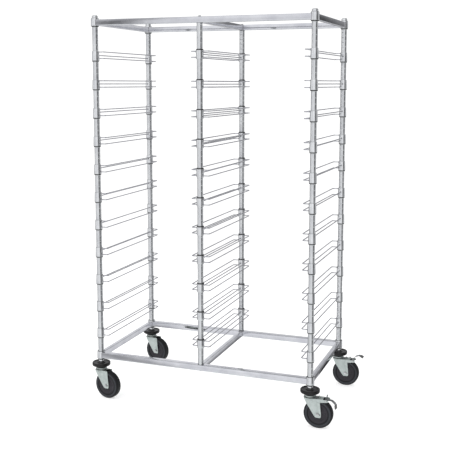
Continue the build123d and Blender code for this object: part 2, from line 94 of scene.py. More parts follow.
def rounded(points, radius, steps=3, closed=True):
    """Replaces each corner of a line with an arc, as far as the runs beside it allow."""
    points = [Vector(p) for p in points]
    out = []
    count = len(points)
    for i, corner in enumerate(points):
        if not closed and i in (0, count - 1):
            out.append(corner)
            continue
        before, after = points[i - 1], points[(i + 1) % count]
        a, b = before - corner, after - corner
        turn = a.angle(b)
        if turn > radians(178):
            out.append(corner)
            continue
        cut = min(radius / tan(turn / 2), a.length * 0.48, b.length * 0.48)
        start, end = corner + a.normalized() * cut, corner + b.normalized() * cut
        bend = cut * tan(turn / 2)
        centre = corner + (a.normalized() + b.normalized()).normalized() * bend / sin(turn / 2)
        sweep = pi - turn
        first, last = start - centre, end - centre
        for k in range(steps + 1):
            share = k / steps
            out.append(centre + (first * sin((1 - share) * sweep) + last * sin(share * sweep)) / sin(sweep))
    return out


def bridge(bm, rings, closed_rings=True, closed_line=False):
    """Faces between neighbouring rings of vertices."""
    pairs = list(zip(rings, rings[1:]))
    if closed_line:
        pairs.append((rings[-1], rings[0]))
    for one, two in pairs:
        count = len(one)
        for i in range(count if closed_rings else count - 1):
            j = (i + 1) % count
            bm.faces.new((one[i], one[j], two[j], two[i]))


def lathe(bm, profile, place, segments, arc=2 * pi, start=0.0):
    """Turns a closed (radius, height) outline about Z, then puts it in place."""
    full = arc > 1.999 * pi
    count = segments if full else segments + 1
    columns = []
    for i in range(count):
        angle = start + arc * i / segments
        ring = [bm.verts.new(place @ Vector((p[0] * cos(angle), p[0] * sin(angle), p[1]))) for p in profile]
        columns.append(ring)
    bridge(bm, columns, closed_line=full)
    if not full:
        bm.faces.new(columns[0])
        bm.faces.new(reversed(columns[-1]))


def tube(bm, path, radius, segments=16):
    """Round bar along a path, with capped ends."""
    path = [Vector(p) for p in path]
    normal = (path[1] - path[0]).orthogonal().normalized()
    rings = []
    for i, point in enumerate(path):
        ahead = path[min(i + 1, len(path) - 1)] - path[max(i - 1, 0)]
        ahead.normalize()
        normal = (normal - ahead * normal.dot(ahead)).normalized()
        side = ahead.cross(normal)
        size = radius(i / (len(path) - 1)) if callable(radius) else radius
        ring = []
        for k in range(segments):
            angle = 2 * pi * k / segments
            ring.append(bm.verts.new(point + (normal * cos(angle) + side * sin(angle)) * size))
        rings.append(ring)
    bridge(bm, rings)
    bm.faces.new(reversed(rings[0]))
    bm.faces.new(rings[-1])


def prism(bm, outline, low, high, place, edge):
    """Plate with rounded edges: an outline in XY, extruded from low to high."""
    outline = [Vector((p[0], p[1], 0)) for p in outline]
    count = len(outline)
    inward = []
    for i in range(count):
        along = (outline[(i + 1) % count] - outline[i - 1]).normalized()
        inward.append(Vector((-along.y, along.x, 0)))
    rings = []
    for height, inset in ((low, edge), (low + 0.3 * edge, 0.3 * edge), (low + edge, 0),
                          (high - edge, 0), (high - 0.3 * edge, 0.3 * edge), (high, edge)):
        lift = Vector((0, 0, height))
        rings.append([bm.verts.new(place @ (p + n * inset + lift)) for p, n in zip(outline, inward)])
    bridge(bm, rings)
    bm.faces.new(reversed(rings[0]))
    bm.faces.new(rings[-1])


def circle(radius, segments=32):
    angles = [2 * pi * i / segments for i in range(segments)]
    return [(radius * cos(angle), radius * sin(angle)) for angle in angles]


def hexagon(radius):
    return circle(radius, 6)


def rectangle(left, right, low, high, radius, steps):
    """Outline of a rectangle with round corners."""
    corners = [(left, low, 0), (right, low, 0), (right, high, 0), (left, high, 0)]
    return [(p.x, p.y) for p in rounded(corners, radius, steps)]


def in_metres(outline):
    """Takes (radius, height) points in mm."""
    return [(r * MM, z * MM) for r, z in outline]


def both_sides(side):
    """Outline of a turned piece: one side's (radius, height) points and their mirror image."""
    return side + [(r, -z) for r, z in reversed(side)]


def linked(name, data):
    """New object in the scene."""
    obj = bpy.data.objects.new(name, data)
    bpy.context.scene.collection.objects.link(obj)
    return obj


def piece(node, made, bm, material, body, sharp=35):
    """Turns a bmesh into an object that stands for a CAD node, named after it and how it is made."""
    name = f"{node}.{made}"
    bmesh.ops.recalc_face_normals(bm, faces=bm.faces)
    mesh = bpy.data.meshes.new(name)
    bm.to_mesh(mesh)
    bm.free()
    mesh.shade_smooth()
    mesh.set_sharp_from_angle(angle=radians(sharp))
    obj = linked(name, mesh)
    for one in (material if isinstance(material, tuple) else (material,)):
        mesh.materials.append(one)
    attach(obj, body)
    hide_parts(node)
    return obj


# ---------------------------------------------------------------- materials


class Shader:
    """A Principled material with short calls for the nodes that these finishes use."""

    def __init__(self, name, **values):
        self.material = bpy.data.materials.new(name)
        self.material.use_nodes = True
        self.nodes = self.material.node_tree.nodes
        self.links = self.material.node_tree.links
        self.bsdf = self.nodes["Principled BSDF"]
        for key, value in values.items():
            self.bsdf.inputs[key.replace("_", " ")].default_value = value
        self.coords = self.nodes.new("ShaderNodeTexCoord").outputs["Object"]

    def stretched(self, scale):
        mapping = self.nodes.new("ShaderNodeMapping")
        mapping.inputs["Scale"].default_value = scale
        self.links.new(self.coords, mapping.inputs["Vector"])
        return mapping.outputs["Vector"]

    def noise(self, scale, detail=4.0, rough=0.55, vector=None):
        node = self.nodes.new("ShaderNodeTexNoise")
        node.inputs["Scale"].default_value = scale
        node.inputs["Detail"].default_value = detail
        node.inputs["Roughness"].default_value = rough
        self.links.new(vector or self.coords, node.inputs["Vector"])
        return node.outputs["Fac"]

    def cells(self, scale):
        node = self.nodes.new("ShaderNodeTexVoronoi")
        node.inputs["Scale"].default_value = scale
        self.links.new(self.coords, node.inputs["Vector"])
        return node.outputs["Color"]

    def ramp(self, fac, *stops):
        node = self.nodes.new("ShaderNodeValToRGB")
        elements = node.color_ramp.elements
        while len(elements) < len(stops):
            elements.new(0.5)
        for element, (place, colour) in zip(elements, stops):
            element.position = place
            element.color = (*colour, 1.0) if isinstance(colour, tuple) else (colour, colour, colour, 1.0)
        self.links.new(fac, node.inputs["Fac"])
        return node.outputs["Color"]

    def mix(self, fac, one, two, mode="MIX"):
        node = self.nodes.new("ShaderNodeMix")
        node.data_type = "RGBA"
        node.blend_type = mode
        if isinstance(fac, float):
            node.inputs["Factor"].default_value = fac
        else:
            self.links.new(fac, node.inputs["Factor"])
        self.links.new(one, node.inputs["A"])
        self.links.new(two, node.inputs["B"])
        return node.outputs["Result"]

    def set(self, socket, value):
        self.links.new(value, self.bsdf.inputs[socket])

    def bump(self, height, strength, distance):
        node = self.nodes.new("ShaderNodeBump")
        node.inputs["Strength"].default_value = strength
        node.inputs["Distance"].default_value = distance
        self.links.new(height, node.inputs["Height"])
        previous = self.bsdf.inputs["Normal"].links
        if previous:
            self.links.new(previous[0].from_socket, node.inputs["Normal"])
        self.links.new(node.outputs["Normal"], self.bsdf.inputs["Normal"])

    def painted_shade(self, colour, reach, dark):
        """Painted shade: darkens a colour where surfaces crowd together, where shade falls in seams and recesses.
        """
        node = self.nodes.new("ShaderNodeAmbientOcclusion")
        node.inputs["Distance"].default_value = reach
        node.samples = 6
        shade = self.ramp(node.outputs["AO"], (0.15, dark), (0.75, 1.0))
        return self.mix(1.0, colour, shade, "MULTIPLY")


def plated(name, light, dark, draw_scale, roughness, draw_strength):
    """Bright plating over drawn metal: fine draw lines, cloudy tone, light scratches and dull smears."""
    s = Shader(name, Metallic=1.0)
    lines = s.noise(1.0, 3.0, 0.6, s.stretched(draw_scale))
    clouds = s.noise(14.0, 3.0)
    smears = s.noise(55.0, 5.0, 0.65)
    tone = s.ramp(clouds, (0.3, dark), (0.65, light))
    line_tone = s.ramp(lines, (0.3, 0.88), (0.6, 1.0))
    colour = s.mix(0.7, tone, line_tone, "MULTIPLY")
    # Painted shade: the plated colour darkens, down to a factor of 0.55, where other surfaces lie within 6 mm.
    s.set("Base Color", s.painted_shade(colour, 0.006, 0.55))
    s.set("Roughness", s.ramp(smears, (0.3, roughness * 0.7), (0.75, roughness * 1.7)))
    s.bump(lines, draw_strength, 0.0004)
    s.bump(smears, 0.05, 0.0003)
    return s.material


def zinc_pressing():
    """Pale, slightly green zinc plate with faint spangle and rubbed edges."""
    s = Shader("zinc_pressing", Metallic=0.72)
    spangle = s.cells(160.0)
    clouds = s.noise(38.0, 5.0, 0.6)
    rub = s.noise(1.0, 4.0, 0.6, s.stretched((60.0, 60.0, 420.0)))
    base = s.ramp(clouds, (0.28, (0.39, 0.44, 0.42)), (0.5, (0.48, 0.53, 0.51)), (0.72, (0.57, 0.62, 0.60)))
    flecks = s.ramp(spangle, (0.1, 0.90), (0.9, 1.0))
    # Painted shade: the zinc darkens, down to a factor of 0.12, where other surfaces lie within 25 mm, as on the
    # crown under the bumper.
    s.set("Base Color", s.painted_shade(s.mix(0.6, base, flecks, "MULTIPLY"), 0.025, 0.12))
    s.set("Roughness", s.ramp(clouds, (0.3, 0.27), (0.7, 0.46)))
    s.bump(clouds, 0.12, 0.0008)
    s.bump(rub, 0.06, 0.0003)
    return s.material


def bright_fastener():
    """Turned and zinc-plated fasteners, with fine turning lines."""
    s = Shader("bright_fastener", Metallic=1.0)
    fine = s.noise(420.0, 3.0)
    clouds = s.noise(70.0, 3.0)
    tone = s.ramp(clouds, (0.3, (0.46, 0.47, 0.46)), (0.7, (0.66, 0.67, 0.67)))
    # Painted shade: the fastener colour darkens, down to a factor of 0.45, where other surfaces lie within 4 mm.
    s.set("Base Color", s.painted_shade(tone, 0.004, 0.45))
    s.set("Roughness", s.ramp(fine, (0.3, 0.16), (0.7, 0.34)))
    s.bump(fine, 0.08, 0.0002)
    return s.material


def moulded(name, dark, light, roughness, grain, strength, dust=0.25):
    """Moulded rubber or plastic: fine grain, cloudy tone and a little dust."""
    s = Shader(name, Metallic=0.0, Specular_IOR_Level=0.3)
    texture = s.noise(grain, 4.0, 0.6)
    clouds = s.noise(30.0, 4.0)
    scuffs = s.noise(1.0, 5.0, 0.7, s.stretched((90.0, 90.0, 25.0)))
    base = s.ramp(clouds, (0.3, dark), (0.7, light))
    powder = s.ramp(scuffs, (0.55, dark), (0.85, tuple(min(1.0, 2.2 * c + 0.02) for c in light)))
    s.set("Base Color", s.mix(dust, base, powder))
    s.set("Roughness", s.ramp(scuffs, (0.3, roughness * 0.85), (0.7, roughness * 1.25)))
    s.bump(texture, strength, 0.0003)
    return s.material


def painted_hole_shade():
    """Painted shade: near-black colour for the inside of a punched hole, where shade falls."""
    s = Shader("hole_shadow", Metallic=0.0)
    s.set("Base Color", s.ramp(s.noise(300.0), (0.3, 0.006), (0.7, 0.02)))
    s.set("Roughness", s.ramp(s.noise(500.0), (0.3, 0.7), (0.7, 0.9)))
    return s.material


TUBE = plated("chrome_tube", (0.68, 0.69, 0.69), (0.56, 0.57, 0.58), (700.0, 700.0, 9.0), 0.09, 0.07)
WIRE = plated("chrome_wire", (0.54, 0.54, 0.56), (0.40, 0.40, 0.43), (160.0, 9.0, 160.0), 0.16, 0.08)
COLLAR = plated("chrome_collar", (0.74, 0.75, 0.75), (0.60, 0.61, 0.62), (240.0, 240.0, 60.0), 0.12, 0.05)
RAIL = plated("chrome_rail", (0.66, 0.665, 0.685), (0.54, 0.545, 0.575), (14.0, 14.0, 600.0), 0.06, 0.04)
WELD = plated("weld_bead", (0.50, 0.49, 0.50), (0.32, 0.31, 0.32), (300.0, 300.0, 300.0), 0.30, 0.30)
ZINC = zinc_pressing()
FASTENER = bright_fastener()
SLEEVE = moulded("black_sleeve", (0.012, 0.012, 0.013), (0.03, 0.03, 0.032), 0.38, 900.0, 0.10)
BUMPER = moulded("bumper_rubber", (0.004, 0.0036, 0.0036), (0.010, 0.009, 0.009), 0.30, 700.0, 0.18,
                 dust=0.12)
RESIN = moulded("wheel_resin", (0.018, 0.0165, 0.020), (0.030, 0.0275, 0.034), 0.45, 800.0, 0.14, dust=0.16)
TYRE = moulded("tyre_rubber", (0.020, 0.022, 0.026), (0.034, 0.037, 0.044), 0.5, 1100.0, 0.22, dust=0.18)
TREAD = moulded("tyre_tread", (0.003, 0.0033, 0.004), (0.008, 0.0085, 0.010), 0.55, 900.0, 0.3, dust=0.14)
PEDAL_STEEL = plated("pedal_steel", (0.28, 0.29, 0.29), (0.17, 0.18, 0.18), (90.0, 400.0, 90.0), 0.16, 0.08)
PAD = moulded("pedal_pad", (0.07, 0.07, 0.07), (0.14, 0.14, 0.138), 0.5, 600.0, 0.2)
# Painted shade for the insides of holes
HOLE_SHADE = painted_hole_shade()


# ---------------------------------------------------------------- posts and sleeves


def groove_heights(low, high):
    """Heights of the post's grooves, on the grid that the slides stand on."""
    grid = LEVEL_FOOT[0] + RIDGE_HEIGHT
    first = int((low - grid) / GROOVE_PITCH) - 1
    last = int((high - grid) / GROOVE_PITCH) + 1
    heights = [grid + i * GROOVE_PITCH for i in range(first, last + 1)]
    return [z for z in heights if low + 3 * MM < z < high - 3 * MM]


def make_post(node):
    """Grooved tube: each groove is a rolled V with soft shoulders."""
    low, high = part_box(node)
    x, y = (low.x + high.x) / 2, (low.y + high.y) / 2
    bevel = 0.5 * MM
    outer = [(POST_RADIUS - bevel, low.z), (POST_RADIUS, low.z + bevel)]
    rolled = ((-1.5, 0.0), (-0.9, 0.22), (0.0, 1.0), (0.9, 0.22), (1.5, 0.0))
    for z in groove_heights(low.z, high.z):
        outer += [(POST_RADIUS - GROOVE_DEPTH * deep, z + dz * MM) for dz, deep in rolled]
    outer += [(POST_RADIUS, high.z - bevel), (POST_RADIUS - bevel, high.z)]
    bore = POST_RADIUS - POST_WALL
    bm = bmesh.new()
    lathe(bm, outer + [(bore, high.z), (bore, low.z)], Matrix.Translation((x, y, 0)), 40)
    piece(node, "tube", bm, TUBE, "rack", sharp=50)


class Grip:
    """A collar on its split sleeve, with the heights of the wires that it holds; it can stand on its head."""

    def __init__(self, collar, wires=(), head_down=False):
        self.length, self.lip_radius, self.far_radius = collar
        self.wires = wires
        self.head_down = head_down

    def stand(self, corners, radius, steps, foot):
        """Rounds an outline, drawn from the lip's edge, and sets it on the post."""
        outline = rounded([(r, z, 0) for r, z in corners], radius, steps)
        return [(p.x, foot + (MIDDLE_LIP - p.y if self.head_down else p.y)) for p in outline]

    def collar(self, foot):
        corners = [(self.lip_radius - COLLAR_WALL, LIP_HEIGHT), (self.lip_radius, LIP_HEIGHT),
                   (self.far_radius, self.length), (self.far_radius - COLLAR_WALL, self.length)]
        return self.stand(corners, 0.7 * MM, 3, foot)

    def sleeve(self, foot):
        """Half sleeve in section: bevelled lip at its edge, wall under the collar."""
        inset = COLLAR_WALL + FIT
        bore = POST_RADIUS + FIT
        lip = 15.9 * MM
        corners = [(bore, 0), (lip - 0.3 * MM, 0), (lip, 1.0 * MM), (lip, LIP_HEIGHT - FIT),
                   (self.lip_radius - inset, LIP_HEIGHT - FIT), (self.far_radius - inset, self.length),
                   (bore, self.length)]
        return self.stand(corners, 0.25 * MM, 2, foot)

    def surface(self, height):
        """The collar's outer radius where a wire meets it."""
        from_lip = MIDDLE_LIP - height if self.head_down else height
        share = (from_lip - LIP_HEIGHT) / (self.length - LIP_HEIGHT)
        return self.lip_radius + (self.far_radius - self.lip_radius) * share


SIDE_GRIP = Grip(SLIDE_COLLAR, SIDE_WIRES)
MIDDLE_GRIP = Grip(MIDDLE_COLLAR, MIDDLE_WIRES, head_down=True)
FRAME_GRIP = Grip(FRAME_COLLAR)


def make_sleeves():
    slit = radians(4.0)
    bm = bmesh.new()
    places = [(x, y, SIDE_GRIP.sleeve(foot)) for x, y in CORNERS for foot in LEVEL_FOOT]
    places += [(0.0, y, MIDDLE_GRIP.sleeve(foot)) for y in (-HALF_DEPTH, HALF_DEPTH) for foot in LEVEL_FOOT]
    places += [(x, y, FRAME_GRIP.sleeve(foot)) for x, y in CORNERS for foot in FRAME_FOOT.values()]
    for x, y, profile in places:
        for half in (0.0, pi):
            lathe(bm, profile, Matrix.Translation((x, y, 0)), 18, pi - slit, half + slit / 2)
    piece("split_sleeves", "moulded", bm, SLEEVE, "rack")


def make_caps():
    """Spun caps with a rolled rim and a soft crown."""
    low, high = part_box("post_caps")
    radius = high.x - HALF_WIDTH
    crown = high.z - POST_TOP
    bore, wall = POST_RADIUS + FIT, radius - 0.35 * MM
    profile = [(bore, POST_TOP), (bore, low.z), (radius - 0.3 * MM, low.z), (radius, low.z + 0.4 * MM),
               (radius, low.z + 1.6 * MM), (wall, low.z + 2.2 * MM), (wall, POST_TOP)]
    for k in range(1, 10):
        angle = radians(10 * k)
        profile.append((wall * cos(angle) ** 0.7, POST_TOP + crown * sin(angle)))
    profile += [(AXIS * MM, high.z), (AXIS * MM, POST_TOP)]
    bm = bmesh.new()
    for x, y in CORNERS:
        lathe(bm, profile, Matrix.Translation((x, y, 0)), 40)
    piece("post_caps", "spun", bm, COLLAR, "rack")


# ---------------------------------------------------------------- tray slides


def weld_flare(bm, foot, direction):
    """Small fillet of weld round a wire where it meets its collar."""
    steps = ((-1.2, 1.5), (0.1, 1.3), (0.8, 0.75), (1.5, 0.35), (2.4, 0.05))
    path = [foot + direction * along * MM for along, _ in steps]
    sizes = [WIRE_RADIUS + grow * MM for _, grow in steps]
    tube(bm, path, lambda share: sizes[round(share * (len(sizes) - 1))], 14)


def add_slide(collars, wires, welds, grip, x, sides, foot):
    """Collars on a front and a rear post, a straight wire between them, and U wires towards each side."""
    lower, straight, upper = grip.wires
    for y in (-HALF_DEPTH, HALF_DEPTH):
        lathe(collars, grip.collar(foot), Matrix.Translation((x, y, 0)), 44)
    surface = grip.surface(straight)
    front, rear = (Vector((x, way * (HALF_DEPTH - surface), foot + straight)) for way in (-1, 1))
    into = Vector((0, WIRE_SUNK, 0))
    tube(wires, [front - into, front.lerp(rear, 0.25), front.lerp(rear, 0.75), rear + into], WIRE_RADIUS)
    weld_flare(welds, front, Vector((0, 1, 0)))
    weld_flare(welds, rear, Vector((0, -1, 0)))
    for side in sides:
        for height in (lower, upper):
            surface, z = grip.surface(height), foot + height
            start, run = x + side * (surface - WIRE_SUNK), x + side * WIRE_REACH
            corners = [(start, -HALF_DEPTH, z), (run, -HALF_DEPTH, z),
                       (run, HALF_DEPTH, z), (start, HALF_DEPTH, z)]
            tube(wires, rounded(corners, WIRE_BEND, 8, closed=False), WIRE_RADIUS)
            for y in (-HALF_DEPTH, HALF_DEPTH):
                weld_flare(welds, Vector((x + side * surface, y, z)), Vector((side, 0, 0)))


def joined(main, extra, index):
    """Adds one bmesh to another with its own material slot."""
    mesh = bpy.data.meshes.new("extra")
    for face in extra.faces:
        face.material_index = index
    extra.to_mesh(mesh)
    extra.free()
    main.from_mesh(mesh)
    bpy.data.meshes.remove(mesh)
    return main


def make_slides():
    layouts = (("side_slides", SIDE_GRIP, ((-HALF_WIDTH, (1,)), (HALF_WIDTH, (-1,)))),
               ("middle_slide", MIDDLE_GRIP, ((0.0, (-1, 1)),)))
    for kind, grip, places in layouts:
        for level, foot in enumerate(LEVEL_FOOT):
            collars, wires, welds = bmesh.new(), bmesh.new(), bmesh.new()
            for x, sides in places:
                add_slide(collars, wires, welds, grip, x, sides, foot)
            node = f"{kind}_level_{level + 1:02d}"
            metal = joined(joined(collars, wires, 1), welds, 2)
            piece(node, "welded", metal, (COLLAR, WIRE, WELD), "rack")


# ---------------------------------------------------------------- frames


def rail_section(width):
    """Rounded outline of a rail as (across, up) from its lower middle."""
    return rectangle(-width / 2, width / 2, 0, RAIL_HEIGHT, RAIL_CORNER, 4)


def add_bead(bm, ring, shift):
    """Closed weld bead along a rail's end, shifted into the joint; its thickness ripples along its line."""
    spacing, thin, ripple = 1.6 * MM, 1.15, 0.35
    sides = 8
    shaken = random.Random(round(ring[0].x * 977 + ring[0].y * 613 + ring[0].z * 331))
    line = []
    for a, b in zip(ring, ring[1:] + ring[:1]):
        parts = max(1, round((b - a).length / spacing))
        line += [a.lerp(b, k / parts) + shift for k in range(parts)]
    count = len(line)
    middle = sum(line, Vector()) / count
    rings = []
    for i, point in enumerate(line):
        ahead = (line[(i + 1) % count] - line[i - 1]).normalized()
        out = point - middle
        out = (out - ahead * out.dot(ahead)).normalized()
        side = ahead.cross(out)
        radius = (thin + ripple * shaken.random()) * MM
        angles = [2 * pi * k / sides for k in range(sides)]
        rings.append([bm.verts.new(point + (out * cos(t) + side * sin(t)) * radius) for t in angles])
    bridge(bm, rings, closed_line=True)


def add_rail(metal, welds, start, end, width, cope=0.0):
    """Rail between two points on its lower middle line; cope is the radius its ends are hollowed to."""
    along = (end - start).normalized()
    across = along.cross(Vector((0, 0, 1)))
    rings = []
    section = rail_section(width)
    for point, way in ((start, 1), (end, -1)):
        ring = []
        for u, v in section:
            back = sqrt(max(cope ** 2 - u ** 2, 0.0))
            ring.append(point + across * u + Vector((0, 0, v)) + along * way * back)
        rings.append(ring)
    middle = [[a.lerp(b, share) for a, b in zip(*rings)] for share in (0.02, 0.25, 0.5, 0.75, 0.98)]
    rows = [[metal.verts.new(p) for p in ring] for ring in (rings[0], *middle, rings[1])]
    bridge(metal, rows)
    metal.faces.new(reversed(rows[0]))
    metal.faces.new(rows[-1])
    for ring, way in zip(rings, (1, -1)):
        add_bead(welds, ring, along * way * 0.4 * MM)


def make_frame(node):
    foot = FRAME_FOOT[node]
    z = foot + RAIL_RISE
    cope = (FRAME_COLLAR[1] + FRAME_COLLAR[2]) / 2 - 0.1 * MM
    metal, welds, collars = bmesh.new(), bmesh.new(), bmesh.new()
    for y in (-HALF_DEPTH, HALF_DEPTH):
        ends = Vector((-HALF_WIDTH, y, z)), Vector((HALF_WIDTH, y, z))
        add_rail(metal, welds, *ends, LONG_RAIL_WIDTH, cope)
    for x in (-HALF_WIDTH, HALF_WIDTH):
        ends = Vector((x, -HALF_DEPTH, z)), Vector((x, HALF_DEPTH, z))
        add_rail(metal, welds, *ends, SHORT_RAIL_WIDTH, cope)
    inner = HALF_DEPTH - LONG_RAIL_WIDTH / 2
    add_rail(metal, welds, Vector((0, -inner, z)), Vector((0, inner, z)), SHORT_RAIL_WIDTH)
    for x, y in CORNERS:
        lathe(collars, FRAME_GRIP.collar(foot), Matrix.Translation((x, y, 0)), 44)
    both = joined(joined(metal, welds, 1), collars, 2)
    piece(node, "welded", both, (RAIL, WELD, COLLAR), "rack")


def make_middle_bolts():
    """Hex bolts with a washer face, above the top rails and below the bottom rails."""
    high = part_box("middle_post_bolts")[1]
    bottom_face = FRAME_FOOT["bottom_frame"] + RAIL_RISE
    top_face = FRAME_FOOT["top_frame"] + RAIL_RISE + RAIL_HEIGHT
    head = high.z - top_face
    shank = RAIL_HEIGHT + 20.0 * MM
    bm = bmesh.new()
    for y in (-HALF_DEPTH, HALF_DEPTH):
        for z, turn in ((bottom_face, pi), (top_face, 0)):
            place = Matrix.Translation((0, y, z)) @ Matrix.Rotation(turn, 4, "X")
            prism(bm, circle(6.45 * MM), 0, 1.0 * MM, place, 0.3 * MM)
            prism(bm, hexagon(6.2 * MM), 0.9 * MM, head, place, 0.7 * MM)
            prism(bm, circle(4.0 * MM), -shank, 0.5 * MM, place, 0.4 * MM)
    piece("middle_post_bolts", "hex", bm, FASTENER, "rack")


# ---------------------------------------------------------------- casters


ACROSS = Matrix.Rotation(pi / 2, 4, "X")  # turns a piece's own Z axis to the axle's direction


class Caster:
    """Where one caster stands and which way its wheel trails, read from the frame's joints."""

    def __init__(self, name):
        joints = {j["name"]: j for j in frame["joints"]}
        swivel, roll = joints[f"swivel_turn_{name}"], joints[f"wheel_roll_{name}"]
        self.name = name
        self.swivel, self.wheel, self.pedal = (f"{part}_{name}" for part in ("swivel", "wheel", "pedal"))
        self.post = Vector(swivel["pos_m"]).xy.to_3d()
        offset = (Vector(roll["pos_m"]) - self.post).xy
        self.trail, self.axle_height = offset.length, roll["pos_m"][2]
        self.place = Matrix.Translation(self.post) @ Matrix.Rotation(atan2(offset.y, offset.x), 4, "Z")
        hub = Matrix.Translation((self.trail, 0, self.axle_height))
        self.axle = self.place @ hub @ ACROSS
        self.braked = f"pedal_lift_{name}" in joints
        if self.braked:
            lift = joints[f"pedal_lift_{name}"]
            self.pivot = self.place.inverted() @ Vector(lift["pos_m"])
            self.raised = lift["range_deg"][0] < 0
            self.travel = radians(max(abs(v) for v in lift["range_deg"]))


CASTERS = [Caster(name) for name in ("left_front", "left_rear", "right_front", "right_rear")]
FORK_FACE = 17.5 * MM  # inside of each leg from the caster's middle plane
FORK_SHEET = 3.0 * MM
CROWN_TOP = 132.0 * MM
FOOT_DROP, FOOT_ROUND = 14.5, 9.0  # leg's foot below the axle, and height of its rounding, in mm
SIDE_BAND = (48.0, 57.5)  # radii in mm between which the tyre's side is a paler grey


def make_stems():
    """Shank, flange, upper race and kingpin of each caster."""
    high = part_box("caster_stems")[1]
    shank_top = high.z / MM
    kingpin = [(AXIS, 122.5), (9.0, 122.5), (10.0, 123.5), (10.0, 127.5), (6.0, 127.7), (6.0, 137.0)]
    race = [(24.2, 137.0), (25.0, 137.8), (25.0, 139.6), (23.6, 141.6), (16.4, 142.6), (15.0, 144.0)]
    flange = [(15.4, 145.6), (18.6, 146.2), (19.0, 147.0), (19.0, 150.0)]
    shank = [(11.0, 150.0), (11.0, shank_top), (AXIS, shank_top)]
    bm = bmesh.new()
    for caster in CASTERS:
        lathe(bm, in_metres(kingpin + race + flange + shank), caster.place, 48)
    piece("caster_stems", "turned", bm, ZINC, "rack")


def make_bumpers():
    """Round bumpers with a full outer edge, a dished top and a low inner collar."""
    low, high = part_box("caster_bumpers")
    outer = high.x - HALF_WIDTH
    bore, foot, top = 13.05 * MM, low.z, high.z
    dish = top - 2.6 * MM
    corners = [(bore, foot), (outer, foot), (outer, top), (36.5 * MM, top), (34.0 * MM, dish),
               (19.5 * MM, dish), (17.5 * MM, top), (bore, top)]
    radii = (0.4, 5.0, 5.0, 1.6, 1.2, 0.8, 0.8, 0.4)
    profile = []
    for i, corner in enumerate(corners):
        near = [corners[i - 1], corner, corners[(i + 1) % len(corners)]]
        arc = rounded([(r, z, 0) for r, z in near], radii[i] * MM, 6, closed=False)[1:-1]
        profile += [(p.x, p.y) for p in arc]
    bm = bmesh.new()
    for caster in CASTERS:
        lathe(bm, profile, caster.place, 64)
    piece("caster_bumpers", "moulded", bm, BUMPER, "rack", sharp=60)


def smooth_step(low, high, value):
    share = min(max((value - low) / (high - low), 0.0), 1.0)
    return share * share * (3 - 2 * share)


def leg_edges(z, braked, trail, axle):
    """Front and back edge of a fork leg at a height, in mm from the swivel axis."""
    nose, heel = trail - 14.0, trail + 15.0
    down = min(max((111.0 - z) / (111.0 - (axle - 9.0)), 0), 1)
    front = -22.0 + 9.0 * smooth_step(132, 108, z) + (nose + 13.0) * down
    back = heel - 5.0 * smooth_step(axle - 6.0, 120.0, z) - 2.0 * smooth_step(118.0, 131.0, z)
    foot = axle - FOOT_DROP
    if z < foot + FOOT_ROUND:
        lift = sqrt(max(1 - ((foot + FOOT_ROUND - z) / FOOT_ROUND) ** 2, 0.0))
        middle = trail + 3.0
        front = middle + (front - middle) * (0.45 + 0.55 * lift)
        back = middle + (back - middle) * (0.62 + 0.38 * lift)
    if braked:
        back += (84.0 - back) * smooth_step(117.5, 120.5, z)
    return front, back


def fork_rows(caster):
    """Rows of the folded sheet: from one leg's foot, over the crown, to the other leg's foot.
    Each row is (half width position y, height z, front, back), in mm on the sheet's outer face."""
    trail, axle = caster.trail / MM, caster.axle_height / MM
    face = (FORK_FACE + FORK_SHEET) / MM
    bend = 4.5
    top = CROWN_TOP / MM
    rows = []
    foot = axle - FOOT_DROP
    heights = [foot + d for d in (0, 0.4, 1.2, 2.4, 4.0, 6.0, FOOT_ROUND)]
    steps = 26
    run = top - bend - foot - FOOT_ROUND
    heights += [foot + FOOT_ROUND + run * k / steps for k in range(1, steps + 1)]
    for z in heights:
        rows.append((face, z, *leg_edges(z, caster.braked, trail, axle)))
    for k in range(1, 7):
        angle = radians(15 * k)
        y, z = face - bend + bend * cos(angle), top - bend + bend * sin(angle)
        front, back = leg_edges(z, False, trail, axle)
        if k > 3:
            back = min(back, 46.0 - 3.0 * (k - 3))
        elif caster.braked:
            back = 84.0 - 1.5 * k
        rows.append((y, z, front, back))
    for k in range(1, 7):
        y = (face - bend) * (1 - k / 6)
        round_front = -sqrt(27.0 ** 2 - min(y, 26.9) ** 2)
        rows.append((y, top, round_front, 29.0 + 6.0 * (y / face) ** 2))
    return rows


def rib_height(caster, a, z):
    """How far the pressed ribs stand out of a leg: two ribs that draw together towards the axle."""
    trail, axle = caster.trail / MM, caster.axle_height / MM
    share = min(max((z - axle) / (126.0 - axle), 0.0), 1.0)
    height = 0.0
    for foot, head in ((trail - 7.5, -11.0), (trail + 6.5, trail - 3.0)):
        middle = foot + (head - foot) * share
        width = 2.2 + 3.2 * share
        height = max(height, 1.15 * (1 - smooth_step(0.25 * width, width, abs(a - middle))))
    return height * smooth_step(axle + 7.0, axle + 16.0, z) * (1 - smooth_step(121.0, 126.0, z))


